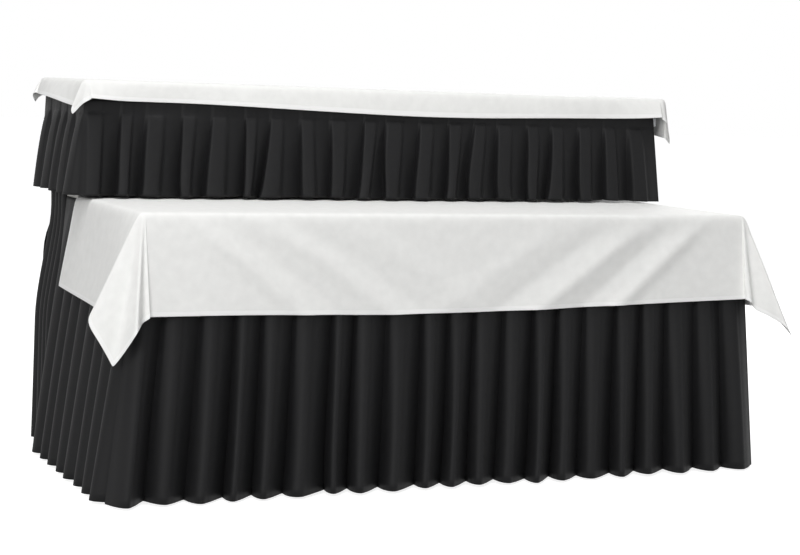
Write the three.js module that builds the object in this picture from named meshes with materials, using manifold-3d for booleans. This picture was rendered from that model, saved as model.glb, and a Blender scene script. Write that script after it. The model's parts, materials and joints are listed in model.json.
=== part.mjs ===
// Folding portable bar, dressed with table linen: a work table in front and a raised serving shelf behind it.
// Two gate frames carry the table and the shelf.
// They swing on pintle hinges and fold flat against the back frame.
// Millimetres, +Z up, +X along the bar, +Y from the table's front edge to the back.
// The origin is on the floor, under the middle of the dressed bar.
import * as THREE from "three";
import { mergeVertices } from "three/addons/utils/BufferGeometryUtils.js";
import Module from "manifold-3d";

const wasm = await Module();
wasm.setup();

// Overall sizes of the two tops
const TABLE_LENGTH = 1829;
const TABLE_DEPTH = 762;
const TABLE_HEIGHT = 760;
const SHELF_OVERHANG = 15.5; // how far the shelf passes the table at each end
const SHELF_DEPTH = 457;
const SHELF_HEIGHT = 1091;
const SHELF_LAP = 250; // how far the shelf stands over the table

// Panels and their aluminium aprons
const PANEL_THICKNESS = 18;
const TABLE_APRON = 42;
const SHELF_APRON = 63;
const APRON_FLANGE = 20;
const END_FLANGE = 45; // wider, because the end aprons rest on the gate frames
const APRON_WALL = 2.5;

// Tubes of the frames
const GATE_TUBE = 32;
const POST_TUBE = 40;
const BACK_RAIL_DEPTH = 25;
const TUBE_WALL = 2;
const TUBE_CORNER = 4;
const CORNER_STEPS = 2;
const GATE_INSET = 8.5; // from the table's end to the outer face of a gate frame
const LEG_INSET = 92; // from the table's front edge to the front of a leg
const STILE_GAP = 106; // from the table's rear edge to the front of a hinge stile
const POST_GAP = 10; // between a hinge stile and the post behind it
const LOW_RAIL_HEIGHT = 140;
const STILE_BOTTOM = 100;
const LOWER_BACK_RAIL = 150; // from the floor to the rail's underside
const MIDDLE_BACK_RAIL_DROP = 160; // from the table's top to the rail's underside
const UPPER_BACK_RAIL_DROP = 56; // from the top of the posts to the rail's underside
const ARM_OVERHANG = 36; // the shelf's front edge stands this far in front of its arms
const GUSSET_THICKNESS = 6;
const GUSSET_REACH = 268;
const GUSSET_DROP = 176;
const GUSSET_HOLLOW = 0.3; // share of its reach and drop at which the hollow edge turns
const GUSSET_HOLE = 24;
const GUSSET_HOLE_IN = 46;
const HOLE_STEPS = 20;
const GRIP_THICKNESS = 2.7;
const GRIP_WIDTH = 20;
const GRIP_END = 8;

// Glides in the ends of the legs and posts
const FOOT_FLANGE = 8;
const FOOT_PLUG = 22;
const FOOT_CHAMFER = 3;
const FOOT_PLUG_CLEARANCE = 1;

// Pintle hinges
const HINGE_BARREL = 7;
const HINGE_PIN = 4;
const HINGE_CLEARANCE = 0.3;
const HINGE_OFFSET = 10; // from the post's inner face to the pin's axis
const HINGE_KNUCKLE = 36;
const HINGE_LEAF = 3;
const HINGE_LEAF_REACH = 34;
const HINGE_WEB = 6;
const LOWER_HINGE = 270; // from the floor to the hinge's underside
const UPPER_HINGE_DROP = 30; // from the table's top to the hinge's underside

// Skirting, its clips and its pleats
const FABRIC = 2.5;
const CLIP_WIDTH = 25;
const CLIP_WALL = 3;
const CLIP_LIP = 12;
const CLIP_CLEARANCE = 0.3;
const HEADER_HEIGHT = 40;
const HEADER_PLEAT = 5;
const PLEAT_PITCH = 95;
const HEM_PLEAT = 30;
const VALANCE_PLEAT = 20;
const SKIRT_ROWS = 3; // rows of facets between the header and the hem, so that no facet is much twisted
const HEM_CLEARANCE = 6;
const TABLE_HEADER_DROP = 28; // from the table's top to the top of the skirting
const SHELF_HEADER_DROP = 51;
const VALANCE_CLEARANCE = 14; // from the table's top to the valance's hem
const VALANCE_SHORT = 18; // the front valance stops this far from the shelf's right end
const SIDE_FLARE = 66; // how far the hem of an end skirt stands out from its header
const FRONT_FLARE = 2;
const VALANCE_FLARE = 12;
const REAR_FLARE = 12;
const RETURN_DEPTH = 185;
const RETURN_PLEAT = 8;
const RETURN_GAP = 13; // from the table's rear edge to an end return

// Table cloths
const CLOTH = 2;
const TABLE_CLOTH_DROP = 255;
const TABLE_CLOTH_SHORT = 57; // the cloth stops this far from the table's rear edge
const SHELF_CLOTH_DROP = 62;
const CLOTH_LIFT = 0.3;
const TABLE_CLOTH_TIP = 115; // how far a corner's tip stands out, along each edge
const SHELF_CLOTH_TIP = 44;
const CLOTH_ROWS = 4;
const CLOTH_ROW_EASE = 1.6; // rows of the drop lie closer together near the edge
const CLOTH_SLOPE = 0.16;
const CLOTH_COLUMN = 180;
const CLOTH_WAVE = 4;
const CLOTH_WAVE_LENGTH = 720;

const GAP = 0.3; // between faces that rest on each other

// Places worked out from the sizes
const shelfLength = TABLE_LENGTH + 2 * SHELF_OVERHANG;
const tableEnd = TABLE_LENGTH / 2;
const shelfEnd = shelfLength / 2;
const shelfFront = TABLE_DEPTH - SHELF_LAP;
const shelfRear = shelfFront + SHELF_DEPTH;
const tableApronTop = TABLE_HEIGHT - PANEL_THICKNESS - GAP;
const tableApronBottom = tableApronTop - TABLE_APRON;
const shelfApronTop = SHELF_HEIGHT - PANEL_THICKNESS - GAP;
const shelfApronBottom = shelfApronTop - SHELF_APRON;
const gateCentre = tableEnd - GATE_INSET - GATE_TUBE / 2;
const gateInner = gateCentre - GATE_TUBE / 2;
const tableRailTop = tableApronBottom - 2 * GAP - GRIP_THICKNESS;
const armTop = shelfApronBottom - 2 * GAP - GRIP_THICKNESS;
const stileFront = TABLE_DEPTH + STILE_GAP;
const stileRear = stileFront + GATE_TUBE;
const postFront = stileRear + POST_GAP;
const postCentre = postFront + POST_TUBE / 2;
const postInner = gateCentre - POST_TUBE / 2;
const hingeX = postInner - HINGE_OFFSET;
const hingeY = stileRear + POST_GAP / 2;
const hingeHeights = { lower: LOWER_HINGE, upper: TABLE_HEIGHT - UPPER_HINGE_DROP };
const legTop = tableRailTop;
const backRails = {
  lower: LOWER_BACK_RAIL,
  middle: TABLE_HEIGHT - MIDDLE_BACK_RAIL_DROP,
  upper: armTop - UPPER_BACK_RAIL_DROP,
};
const clippedStandoff = CLIP_CLEARANCE + CLIP_WALL + GAP; // skirting on clips
const tapedStandoff = GAP; // skirting on hook-and-loop tape
const tableHeaderTop = TABLE_HEIGHT - TABLE_HEADER_DROP;
const shelfHeaderTop = SHELF_HEIGHT - SHELF_HEADER_DROP;
const frontReach = TABLE_CLOTH_TIP + CLOTH;
const rearReach = shelfRear + tapedStandoff + REAR_FLARE + HEM_PLEAT + FABRIC;
const originY = (rearReach - frontReach) / 2;

// Finishes
function finish(color, roughness, metalness) {
  return new THREE.MeshStandardMaterial({ color, roughness, metalness });
}
const satinAluminium = finish(0xb9bcc0, 0.42, 0.9);
const greyPowderCoat = finish(0x6d7074, 0.55, 0.3);
const zincSteel = finish(0x9a9c9c, 0.4, 0.9);
const laminate = finish(0xd8d6d0, 0.5, 0);
const greyPlastic = finish(0xaeb1b3, 0.5, 0);
const blackRubber = finish(0x1b1b1c, 0.8, 0);
const blackPolyester = finish(0x1d1d1e, 0.85, 0);
const whiteLinen = finish(0xf0f0ee, 0.9, 0);

const bar = new THREE.Group();
bar.position.y = -originY;
const sides = [
  { name: "left", sign: -1 },
  { name: "right", sign: 1 },
];

// Adds one named piece to the bar.
function piece(name, geometry, material) {
  const mesh = new THREE.Mesh(geometry, material);
  mesh.name = name;
  bar.add(mesh);
  return mesh;
}

// Booleans: a closed geometry as a solid, and back.
function solid(geometry) {
  const bare = geometry.index ? geometry.toNonIndexed() : geometry.clone();
  bare.deleteAttribute("normal");
  bare.deleteAttribute("uv");
  const merged = mergeVertices(bare, 1e-4);
  return new wasm.Manifold(
    new wasm.Mesh({
      numProp: 3,
      vertProperties: merged.attributes.position.array,
      triVerts: new Uint32Array(merged.index.array),
    }),
  );
}

function geometryOf(manifold) {
  const mesh = manifold.getMesh();
  return new THREE.BufferGeometry()
    .setAttribute("position", new THREE.BufferAttribute(mesh.vertProperties, 3))
    .setIndex(new THREE.BufferAttribute(mesh.triVerts, 1));
}

// A box between two corners.
function boxBetween([x0, y0, z0], [x1, y1, z1]) {
  const size = [Math.abs(x1 - x0), Math.abs(y1 - y0), Math.abs(z1 - z0)];
  return new THREE.BoxGeometry(...size).translate((x0 + x1) / 2, (y0 + y1) / 2, (z0 + z1) / 2);
}

function upright(radius, x, y, z0, z1, segments = 20) {
  return new THREE.CylinderGeometry(radius, radius, z1 - z0, segments)
    .rotateX(Math.PI / 2)
    .translate(x, y, (z0 + z1) / 2);
}

// Corner points of a rounded rectangle about the origin, anticlockwise.
function roundedOutline(width, height, radius) {
  const points = [];
  for (let corner = 0; corner < 4; corner++) {
    const sx = corner === 0 || corner === 3 ? 1 : -1;
    const sy = corner < 2 ? 1 : -1;
    for (let step = 0; step <= CORNER_STEPS; step++) {
      const angle = ((corner + step / CORNER_STEPS) * Math.PI) / 2;
      const x = sx * (width / 2 - radius) + radius * Math.cos(angle);
      const y = sy * (height / 2 - radius) + radius * Math.sin(angle);
      points.push(new THREE.Vector2(x, y));
    }
  }
  return points;
}

// Points of a circle, anticlockwise.
function circleOutline(x, y, radius, steps) {
  const points = [];
  for (let step = 0; step < steps; step++) {
    const angle = (2 * Math.PI * step) / steps;
    points.push(new THREE.Vector2(x + radius * Math.cos(angle), y + radius * Math.sin(angle)));
  }
  return points;
}

// Hollow rectangular tube along X, Y or Z, with rounded outer corners.
// The section's width lies along the first of the other two axes, and its height along the second.
function tube(axis, from, to, [centreA, centreB], width, height) {
  const outline = new THREE.Shape(roundedOutline(width, height, TUBE_CORNER));
  const bore = new THREE.Path(
    roundedOutline(width - 2 * TUBE_WALL, height - 2 * TUBE_WALL, TUBE_CORNER - TUBE_WALL).reverse(),
  );
  outline.holes.push(bore);
  const geometry = new THREE.ExtrudeGeometry(outline, { depth: to - from, bevelEnabled: false });
  geometry.translate(0, 0, from);
  const turns = {
    X: new THREE.Matrix4().makeBasis(
      new THREE.Vector3(0, 1, 0),
      new THREE.Vector3(0, 0, 1),
      new THREE.Vector3(1, 0, 0),
    ),
    Y: new THREE.Matrix4().makeBasis(
      new THREE.Vector3(-1, 0, 0),
      new THREE.Vector3(0, 0, 1),
      new THREE.Vector3(0, 1, 0),
    ),
    Z: new THREE.Matrix4(),
  };
  const places = { X: [0, centreA, centreB], Y: [centreA, 0, centreB], Z: [centreA, centreB, 0] };
  return geometry.applyMatrix4(turns[axis]).translate(...places[axis]);
}

// Apron channel: a C section, open towards the middle of its top, along X or Y.
// edge is the plane of its outer face, and outward is the direction that the face looks.
function apron(axis, from, to, edge, outward, bottom, height, flange) {
  const section = new THREE.Shape();
  section.moveTo(0, 0);
  section.lineTo(flange, 0);
  section.lineTo(flange, APRON_WALL);
  section.lineTo(APRON_WALL, APRON_WALL);
  section.lineTo(APRON_WALL, height - APRON_WALL);
  section.lineTo(flange, height - APRON_WALL);
  section.lineTo(flange, height);
  section.lineTo(0, height);
  section.closePath();
  const geometry = new THREE.ExtrudeGeometry(section, { depth: to - from, bevelEnabled: false });
  const inward = new THREE.Vector3(axis === "X" ? 0 : -outward, axis === "X" ? -outward : 0, 0);
  const up = new THREE.Vector3(0, 0, 1);
  const along = new THREE.Vector3().crossVectors(inward, up);
  geometry.applyMatrix4(new THREE.Matrix4().makeBasis(inward, up, along));
  const middle = (from + to) / 2;
  geometry.computeBoundingBox();
  const centre = geometry.boundingBox.getCenter(new THREE.Vector3());
  return axis === "X"
    ? geometry.translate(middle - centre.x, edge, bottom)
    : geometry.translate(edge, middle - centre.y, bottom);
}

// One closed sheet between an inner and an outer grid of points with the same rows and columns.
function sheetBetween(inner, outer) {
  const rows = inner.length;
  const columns = inner[0].length;
  const corners = [...inner.flat(), ...outer.flat()];
  const at = (row, column) => row * columns + column;
  const shift = rows * columns;
  const faces = [];
  const quad = (a, b, c, d) => faces.push(a, b, c, a, c, d);
  for (let row = 0; row < rows - 1; row++) {
    for (let column = 0; column < columns - 1; column++) {
      const a = at(row, column);
      const b = at(row, column + 1);
      const c = at(row + 1, column + 1);
      const d = at(row + 1, column);
      quad(a, b, c, d);
      quad(shift + a, shift + d, shift + c, shift + b);
    }
  }
  const border = [];
  for (let column = 0; column < columns - 1; column++) border.push(at(0, column));
  for (let row = 0; row < rows - 1; row++) border.push(at(row, columns - 1));
  for (let column = columns - 1; column > 0; column--) border.push(at(rows - 1, column));
  for (let row = rows - 1; row > 0; row--) border.push(at(row, 0));
  border.forEach((a, i) => {
    const b = border[(i + 1) % border.length];
    quad(b, a, shift + a, shift + b);
  });
  if (signedVolume(corners, faces) < 0) faces.reverse();
  return new THREE.BufferGeometry()
    .setAttribute("position", new THREE.Float32BufferAttribute(corners.flat(), 3))
    .setIndex(faces);
}

function signedVolume(corners, faces) {
  let sum = 0;
  for (let i = 0; i < faces.length; i += 3) {
    const [a, b, c] = [0, 1, 2].map((k) => new THREE.Vector3(...corners[faces[i + k]]));
    sum += a.dot(b.cross(c));
  }
  return sum;
}

// Feet: a flange under the tube's end, and a plug inside it.
function foot(x, y, tubeWidth) {
  const half = tubeWidth / 2;
  const sole = new THREE.Shape();
  sole.moveTo(-half + FOOT_CHAMFER, 0);
  sole.lineTo(half - FOOT_CHAMFER, 0);
  sole.lineTo(half, FOOT_CHAMFER);
  sole.lineTo(half, FOOT_FLANGE);
  sole.lineTo(-half, FOOT_FLANGE);
  sole.lineTo(-half, FOOT_CHAMFER);
  sole.closePath();
  const flange = new THREE.ExtrudeGeometry(sole, { depth: tubeWidth, bevelEnabled: false })
    .translate(0, 0, -half)
    .rotateX(Math.PI / 2)
    .translate(x, y, 0);
  const plugHalf = half - TUBE_WALL - FOOT_PLUG_CLEARANCE;
  const plug = boxBetween(
    [x - plugHalf, y - plugHalf, FOOT_FLANGE / 2],
    [x + plugHalf, y + plugHalf, FOOT_FLANGE + FOOT_PLUG],
  );
  return geometryOf(solid(flange).add(solid(plug)));
}

// Hinge half with its pin, welded to a post's inner face.
function postHinge(sign, z) {
  const x = sign * hingeX;
  const face = sign * (postInner - GAP);
  const leafInner = face - sign * HINGE_LEAF;
  const barrel = upright(HINGE_BARREL, x, hingeY, z, z + HINGE_KNUCKLE);
  const pin = upright(HINGE_PIN, x, hingeY, z + HINGE_KNUCKLE / 2, z + 2 * HINGE_KNUCKLE);
  const leaf = boxBetween([face, hingeY, z], [leafInner, hingeY + HINGE_LEAF_REACH, z + HINGE_KNUCKLE]);
  const web = boxBetween([face, hingeY, z], [x, hingeY + HINGE_WEB, z + HINGE_KNUCKLE]);
  return geometryOf(solid(barrel).add(solid(pin)).add(solid(leaf)).add(solid(web)));
}

// Hinge half with its bore, welded to a gate frame's stile. It sits on the post's half.
function gateHinge(sign, z) {
  const x = sign * hingeX;
  const face = sign * (gateInner - GAP);
  const leafInner = face - sign * HINGE_LEAF;
  const bottom = z + HINGE_KNUCKLE + GAP;
  const top = bottom + HINGE_KNUCKLE;
  const barrel = upright(HINGE_BARREL, x, hingeY, bottom, top);
  const leaf = boxBetween([face, hingeY - HINGE_LEAF_REACH, bottom], [leafInner, hingeY, top]);
  const web = boxBetween([face, hingeY - HINGE_WEB, bottom], [x, hingeY, top]);
  const bore = upright(HINGE_PIN + HINGE_CLEARANCE, x, hingeY, bottom - 1, top + 1);
  return geometryOf(solid(barrel).add(solid(leaf)).add(solid(web)).subtract(solid(bore)));
}

// Gusset under a shelf arm: a plate with a hollow edge and a lightening hole.
function gusset(x) {
  const rear = stileFront - GAP;
  const top = armTop - GATE_TUBE - GAP;
  const plate = new THREE.Shape();
  plate.moveTo(rear, top);
  plate.lineTo(rear - GUSSET_REACH, top);
  plate.lineTo(rear - GUSSET_REACH, top - GUSSET_THICKNESS);
  const hollow = [rear - GUSSET_REACH * GUSSET_HOLLOW, top - GUSSET_DROP * GUSSET_HOLLOW];
  plate.quadraticCurveTo(...hollow, rear - GUSSET_THICKNESS, top - GUSSET_DROP);
  plate.lineTo(rear, top - GUSSET_DROP);
  plate.closePath();
  const holeCentre = [rear - GUSSET_HOLE_IN, top - GUSSET_HOLE_IN];
  plate.holes.push(new THREE.Path(circleOutline(...holeCentre, GUSSET_HOLE, HOLE_STEPS).reverse()));
  const basis = new THREE.Matrix4().makeBasis(
    new THREE.Vector3(0, 1, 0),
    new THREE.Vector3(0, 0, 1),
    new THREE.Vector3(1, 0, 0),
  );
  return new THREE.ExtrudeGeometry(plate, { depth: GUSSET_THICKNESS, bevelEnabled: false, curveSegments: 8 })
    .translate(0, 0, -GUSSET_THICKNESS / 2)
    .applyMatrix4(basis)
    .translate(x, 0, 0);
}

// Skirt clip: hooks under an apron's front face, between the apron and the skirting.
function clip(x, edge, bottom, height) {
  const hook = new THREE.Shape();
  const out = CLIP_CLEARANCE + CLIP_WALL;
  const low = -CLIP_CLEARANCE - CLIP_WALL;
  hook.moveTo(-out, low);
  hook.lineTo(CLIP_LIP, low);
  hook.lineTo(CLIP_LIP, -CLIP_CLEARANCE);
  hook.lineTo(-CLIP_CLEARANCE, -CLIP_CLEARANCE);
  hook.lineTo(-CLIP_CLEARANCE, height);
  hook.lineTo(-out, height);
  hook.closePath();
  const basis = new THREE.Matrix4().makeBasis(
    new THREE.Vector3(0, 1, 0),
    new THREE.Vector3(0, 0, 1),
    new THREE.Vector3(1, 0, 0),
  );
  return new THREE.ExtrudeGeometry(hook, { depth: CLIP_WIDTH, bevelEnabled: false })
    .translate(0, 0, -CLIP_WIDTH / 2)
    .applyMatrix4(basis)
    .translate(x, edge, bottom);
}

// Box pleats: how far out the cloth stands at a few phases of a pleat, from 0 in a recess to 1 on a face.
const PLEAT_SHAPE = [
  [0, 0],
  [0.14, 1],
  [0.6, 1],
  [0.74, 0],
];

// An open outline moved outwards by an even thickness, with mitred corners. Its two ends move straight out.
function offsetOutline(points, thickness) {
  const sideNormals = points.slice(1).map((point, i) => {
    const side = point.clone().sub(points[i]).normalize();
    return new THREE.Vector2(-side.y, side.x);
  });
  return points.map((point, i) => {
    const before = sideNormals[i - 1];
    const after = sideNormals[i];
    if (!before || !after) return new THREE.Vector2(point.x, point.y + thickness);
    const mitre = before.clone().add(after).multiplyScalar(thickness / (1 + before.dot(after)));
    return point.clone().add(mitre);
  });
}

// A length of pleated skirting that hangs from a header.
// start and end run along its edge, flare and widen spread it towards the hem.
// place puts a point (along, out, up) on the bar.
function skirting({ start, end, top, hem, pleat, flare, standoff, widen = [0, 0], place }) {
  const count = Math.max(1, Math.round((end - start) / PLEAT_PITCH));
  const phases = [];
  for (let i = 0; i < count; i++) {
    PLEAT_SHAPE.forEach(([phase, out]) => phases.push([(i + phase) / count, out]));
  }
  phases.push([1, 0]);
  const levels = [{ z: top, depth: HEADER_PLEAT, share: 0 }];
  for (let row = 0; row <= SKIRT_ROWS; row++) {
    const low = row / SKIRT_ROWS;
    const z = THREE.MathUtils.lerp(top - HEADER_HEIGHT, hem, low);
    levels.push({ z, depth: THREE.MathUtils.lerp(HEADER_PLEAT, pleat, low), share: (top - z) / (top - hem) });
  }
  const outline = ({ depth, share }) => {
    const from = start - widen[0] * share;
    const to = end + widen[1] * share;
    const base = standoff + flare * share;
    return phases.map(([along, out]) => new THREE.Vector2(from + (to - from) * along, base + depth * out));
  };
  const grid = (thickness) =>
    levels.map((level) => offsetOutline(outline(level), thickness).map(({ x, y }) => place(x, y, level.z)));
  return sheetBetween(grid(0), grid(FABRIC));
}

// A cloth laid over a rectangular top, with its free edges hanging and its corners falling in points.
// The flat part lies between low and high. drops are how far it hangs at the left, right, front and back.
function drapedCloth({ low, high, z, drops, standoff, tip }) {
  const lines = (from, to, before, after) => {
    const out = [];
    const eased = (row) => (row / CLOTH_ROWS) ** CLOTH_ROW_EASE;
    for (let i = CLOTH_ROWS; i > 0 && before; i--) out.push(from - before * eased(i));
    const cells = Math.max(1, Math.round((to - from) / CLOTH_COLUMN));
    for (let i = 0; i <= cells; i++) out.push(from + ((to - from) * i) / cells);
    for (let i = 1; i <= CLOTH_ROWS && after; i++) out.push(to + after * eased(i));
    return out;
  };
  const across = lines(low[0], high[0], drops.left, drops.right);
  const deep = lines(low[1], high[1], drops.front, drops.back);
  const cornerFall = Math.hypot(drops.front, drops.left);
  const tipSpread = (tip * Math.SQRT2) / cornerFall;
  const drape = (s, t, thickness) => {
    const x = Math.min(Math.max(s, low[0]), high[0]);
    const y = Math.min(Math.max(t, low[1]), high[1]);
    const fall = Math.hypot(s - x, t - y);
    const onEnd = s === low[0] || s === high[0];
    const onEdge = onEnd || (t === low[1] && drops.front) || (t === high[1] && drops.back);
    if (fall === 0 && !onEdge) return [x, y, z + thickness];
    const sx = s <= low[0] ? -1 : s >= high[0] ? 1 : 0;
    const sy = t <= low[1] && drops.front ? -1 : t >= high[1] && drops.back ? 1 : 0;
    const away = fall ? [(s - x) / fall, (t - y) / fall] : [sx / Math.hypot(sx, sy), sy / Math.hypot(sx, sy)];
    if (fall === 0) return [x + away[0] * thickness, y + away[1] * thickness, z + thickness];
    const diagonal = (2 * away[0] * away[1]) ** 2;
    const swell = 1 - Math.cos((2 * Math.PI * (x + y)) / CLOTH_WAVE_LENGTH);
    const wave = CLOTH_WAVE * (fall / cornerFall) * swell;
    const straight = Math.min(fall, standoff) + Math.max(0, fall - standoff) * CLOTH_SLOPE + wave;
    const out = straight * (1 - diagonal) + fall * tipSpread * diagonal;
    const down = fall * Math.cos(Math.asin(Math.min(0.9, out / fall)));
    return [x + away[0] * (out + thickness), y + away[1] * (out + thickness), z + thickness - down];
  };
  const grid = (thickness) => deep.map((t) => across.map((s) => drape(s, t, thickness)));
  return sheetBetween(grid(0), grid(CLOTH));
}

// Back frame: two posts and three rails
for (const { name, sign } of sides) {
  const x = sign * gateCentre;
  const post = tube("Z", FOOT_FLANGE + GAP, armTop, [x, postCentre], POST_TUBE, POST_TUBE);
  piece(`${name}_post`, post, greyPowderCoat);
  piece(`${name}_rear_foot`, foot(x, postCentre, POST_TUBE), blackRubber);
  for (const [level, z] of Object.entries(hingeHeights)) {
    piece(`${name}_${level}_post_hinge`, postHinge(sign, z), zincSteel);
  }
}
for (const [level, z] of Object.entries(backRails)) {
  const reach = postInner - GAP;
  const rail = tube("X", -reach, reach, [postCentre, z + POST_TUBE / 2], BACK_RAIL_DEPTH, POST_TUBE);
  piece(`${level}_back_rail`, rail, greyPowderCoat);
}

// Gate frames: a leg, a hinge stile, two rails and the shelf's arm, welded into one
for (const { name, sign } of sides) {
  const x = sign * gateCentre;
  const legCentre = LEG_INSET + GATE_TUBE / 2;
  const railStart = LEG_INSET + GATE_TUBE + GAP;
  const railEnd = stileFront - GAP;
  const armStart = shelfFront + ARM_OVERHANG;
  const gateTube = (axis, from, to, at) => tube(axis, from, to, at, GATE_TUBE, GATE_TUBE);
  const gripBetween = (from, to, top) =>
    boxBetween([x - GRIP_WIDTH / 2, from, top + GAP], [x + GRIP_WIDTH / 2, to, top + GAP + GRIP_THICKNESS]);
  piece(`${name}_front_leg`, gateTube("Z", FOOT_FLANGE + GAP, legTop, [x, legCentre]), greyPowderCoat);
  piece(`${name}_front_foot`, foot(x, legCentre, GATE_TUBE), blackRubber);
  piece(
    `${name}_hinge_stile`,
    gateTube("Z", STILE_BOTTOM, armTop, [x, stileFront + GATE_TUBE / 2]),
    greyPowderCoat,
  );
  const railAt = (z, from) => gateTube("Y", from, railEnd, [x, z]);
  piece(`${name}_table_rail`, railAt(tableRailTop - GATE_TUBE / 2, railStart), greyPowderCoat);
  piece(`${name}_low_rail`, railAt(LOW_RAIL_HEIGHT + GATE_TUBE / 2, railStart), greyPowderCoat);
  piece(`${name}_shelf_arm`, railAt(armTop - GATE_TUBE / 2, armStart), greyPowderCoat);
  piece(`${name}_arm_gusset`, gusset(x), greyPowderCoat);
  const tableGrip = gripBetween(railStart + GRIP_END, TABLE_DEPTH - GRIP_END, tableRailTop);
  piece(`${name}_table_grip`, tableGrip, blackRubber);
  piece(`${name}_shelf_grip`, gripBetween(armStart + GRIP_END, railEnd - GRIP_END, armTop), blackRubber);
  for (const [level, z] of Object.entries(hingeHeights)) {
    piece(`${name}_${level}_gate_hinge`, gateHinge(sign, z), zincSteel);
  }
}

// A laminated panel on four apron channels.
function top(name, halfLength, front, rear, height, apronBottom, apronHeight) {
  const panel = boxBetween([-halfLength, front, height - PANEL_THICKNESS], [halfLength, rear, height]);
  piece(`${name}_panel`, panel, laminate);
  const endFrom = front + APRON_FLANGE + GAP;
  const endTo = rear - APRON_FLANGE - GAP;
  const channels = {
    front: apron("X", -halfLength, halfLength, front, -1, apronBottom, apronHeight, APRON_FLANGE),
    rear: apron("X", -halfLength, halfLength, rear, 1, apronBottom, apronHeight, APRON_FLANGE),
    left: apron("Y", endFrom, endTo, -halfLength, -1, apronBottom, apronHeight, END_FLANGE),
    right: apron("Y", endFrom, endTo, halfLength, 1, apronBottom, apronHeight, END_FLANGE),
  };
  for (const [side, channel] of Object.entries(channels)) {
    piece(`${name}_${side}_apron`, channel, satinAluminium);
  }
}
top("table", tableEnd, 0, TABLE_DEPTH, TABLE_HEIGHT, tableApronBottom, TABLE_APRON);
top("shelf", shelfEnd, shelfFront, shelfRear, SHELF_HEIGHT, shelfApronBottom, SHELF_APRON);

// Skirting of the table: the front and both ends
const alongFront = (edge) => (along, out, z) => [along, edge - out, z];
const alongRear = (edge) => (along, out, z) => [along, edge + out, z];
const alongEnd = (sign, edge) => (along, out, z) => [sign * (edge + out), along, z];
const endSkirtReach = tapedStandoff + HEADER_PLEAT + FABRIC;
piece(
  "front_skirt",
  skirting({
    start: -tableEnd - endSkirtReach,
    end: tableEnd + endSkirtReach,
    top: tableHeaderTop,
    hem: HEM_CLEARANCE,
    pleat: HEM_PLEAT,
    flare: FRONT_FLARE,
    standoff: clippedStandoff,
    widen: [SIDE_FLARE + HEM_PLEAT / 2, SIDE_FLARE + HEM_PLEAT / 2],
    place: alongFront(0),
  }),
  blackPolyester,
);
for (const { name, sign } of sides) {
  piece(
    `${name}_skirt`,
    skirting({
      start: GAP,
      end: TABLE_DEPTH,
      top: tableHeaderTop,
      hem: HEM_CLEARANCE,
      pleat: HEM_PLEAT,
      flare: SIDE_FLARE,
      standoff: tapedStandoff,
      place: alongEnd(sign, tableEnd),
    }),
    blackPolyester,
  );
}

// Skirting of the shelf: a short valance at the front and the left end, and a full drop behind
const valanceHem = TABLE_HEIGHT + VALANCE_CLEARANCE;
piece(
  "front_valance",
  skirting({
    start: -shelfEnd - endSkirtReach,
    end: shelfEnd - VALANCE_SHORT,
    top: shelfHeaderTop,
    hem: valanceHem,
    pleat: VALANCE_PLEAT,
    flare: 0,
    standoff: clippedStandoff,
    widen: [VALANCE_FLARE, VALANCE_FLARE],
    place: alongFront(shelfFront),
  }),
  blackPolyester,
);
piece(
  "left_valance",
  skirting({
    start: shelfFront + GAP,
    end: shelfRear,
    top: shelfHeaderTop,
    hem: valanceHem,
    pleat: VALANCE_PLEAT,
    flare: VALANCE_FLARE,
    standoff: tapedStandoff,
    place: alongEnd(-1, shelfEnd),
  }),
  blackPolyester,
);
piece(
  "rear_skirt",
  skirting({
    start: -shelfEnd,
    end: shelfEnd,
    top: shelfHeaderTop,
    hem: HEM_CLEARANCE,
    pleat: HEM_PLEAT,
    flare: REAR_FLARE,
    standoff: tapedStandoff,
    place: alongRear(shelfRear),
  }),
  blackPolyester,
);
for (const { name, sign } of sides) {
  piece(
    `${name}_return`,
    skirting({
      start: TABLE_DEPTH + RETURN_GAP,
      end: TABLE_DEPTH + RETURN_GAP + RETURN_DEPTH,
      top: shelfApronBottom - GAP,
      hem: HEM_CLEARANCE,
      pleat: RETURN_PLEAT,
      flare: 0,
      standoff: 0,
      place: alongEnd(sign, tableEnd),
    }),
    blackPolyester,
  );
}

// Clips that hold the skirting's header
const clipHeight = (apronBottom, headerTop) => headerTop - apronBottom - HEADER_HEIGHT / 4;
const tableClipX = TABLE_LENGTH / 4;
const shelfClipX = { left: -shelfLength / 4, right: shelfEnd - CLIP_WIDTH / 2 };
for (const { name, sign } of sides) {
  const tableRise = clipHeight(tableApronBottom, tableHeaderTop);
  const tableClip = clip(sign * tableClipX, 0, tableApronBottom, tableRise);
  piece(`table_${name}_clip`, tableClip, greyPlastic);
  const shelfRise = clipHeight(shelfApronBottom, shelfHeaderTop);
  const shelfClip = clip(shelfClipX[name], shelfFront, shelfApronBottom, shelfRise);
  piece(`shelf_${name}_clip`, shelfClip, greyPlastic);
}

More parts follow.
